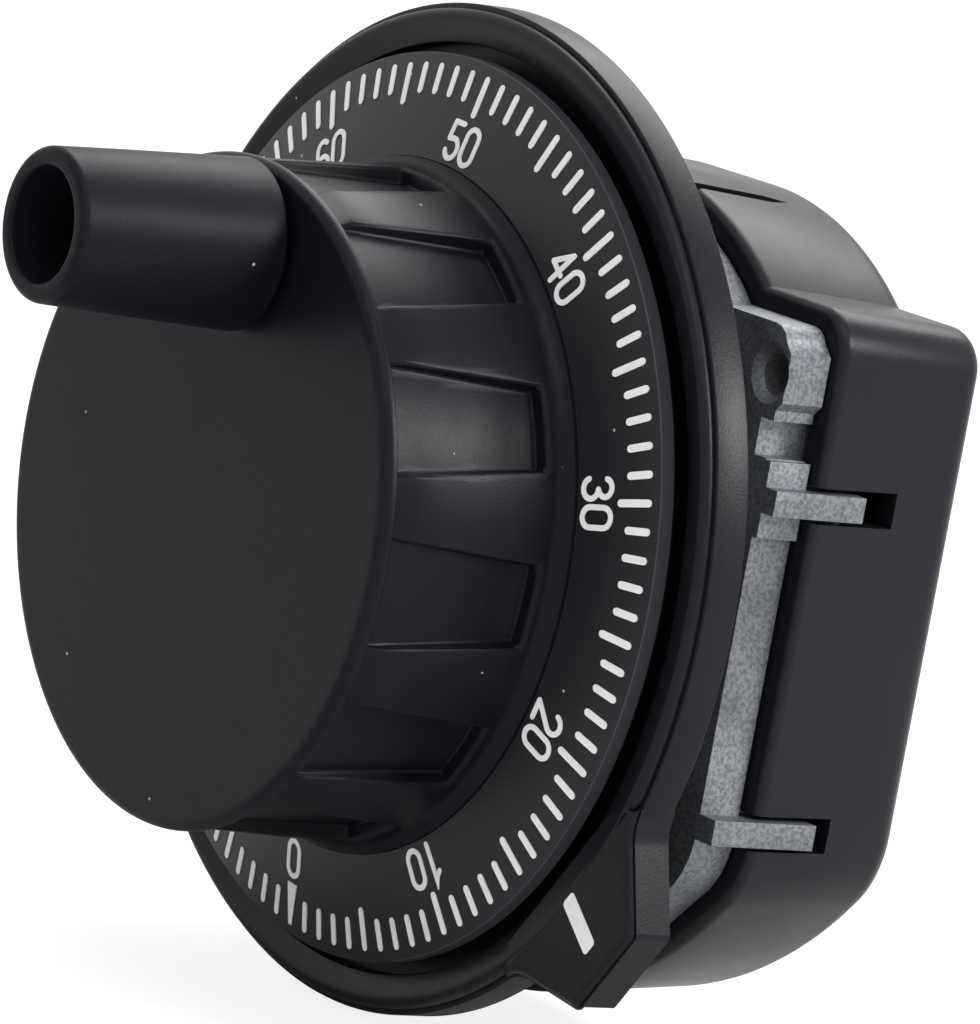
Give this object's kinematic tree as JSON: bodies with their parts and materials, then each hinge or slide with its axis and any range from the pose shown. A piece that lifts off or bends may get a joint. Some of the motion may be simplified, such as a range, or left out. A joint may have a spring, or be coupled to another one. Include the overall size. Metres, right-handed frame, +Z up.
{
  "type": "pulse generator handwheel",
  "caption": "Panel-mounted manual pulse generator: a turned handwheel with crank grip and divided dial over a fixed index ring, with a die-cast frame and covered encoder behind.",
  "frame": {"origin": "on the wheel's axis, in the plane of the control panel's front face, against which the index ring sits", "axes": "+Y along the wheel's axis towards the rear, +Z up, +X to the right as seen from the front"},
  "size_m": [0.08, 0.0705, 0.08],
  "materials": {
    "black_abs": "moulded black, fine grain",
    "satin_black": "satin moulded black",
    "white_fill": "white engraving paint",
    "anodised": "black anodised, lathe turned",
    "zinc": "bare die-cast zinc alloy, tumbled",
    "aluminium": "plain",
    "steel": "zinc plated",
    "bearing_steel": "ground",
    "brass": "turned",
    "magnet": "nickel plated magnet",
    "board": "green solder resist"
  },
  "bodies": {
    "housing": {"index_ring": "black_abs", "index_mark": "white_fill", "ring_screws": "steel", "frame": "zinc", "rear_cover": "black_abs", "cover_screws": "steel", "front_bearing_outer": "bearing_steel", "rear_bearing_outer": "bearing_steel", "bearing_retaining_ring": "steel", "detent_magnet": "magnet", "magnet_holder": "aluminium", "magnet_screw": "steel", "circuit_board": "board", "board_screws": "steel", "sensor_block": "black_abs", "slit_mask": "steel", "terminal_block": "black_abs", "terminal_screws": "steel"},
    "wheel": {"handwheel": "satin_black", "wheel_hub": "brass", "hub_set_screws": "steel", "dial_ring": "anodised", "dial_marks": "white_fill", "grip_shoulder_screw": "steel", "grip_washer": "satin_black", "grip_insert": "brass", "shaft": "steel", "spacer_sleeve": "steel", "front_bearing_inner": "bearing_steel", "front_bearing_balls": "bearing_steel", "rear_bearing_inner": "bearing_steel", "rear_bearing_balls": "bearing_steel", "detent_rotor": "steel", "disc_hub": "brass", "code_disc": "steel", "disc_clamp": "steel"},
    "crank_grip": {"grip": "satin_black"}
  },
  "joints": [
    {"name": "wheel_spin", "type": "hinge", "parent": "housing", "child": "wheel", "pos_m": [0, 0, 0], "axis": [0, 1, 0], "continuous": true},
    {"name": "grip_spin", "type": "hinge", "parent": "wheel", "child": "crank_grip", "pos_m": [0.00179, -0.0335, 0.01972], "axis": [0, 1, 0], "continuous": true}
  ]
}
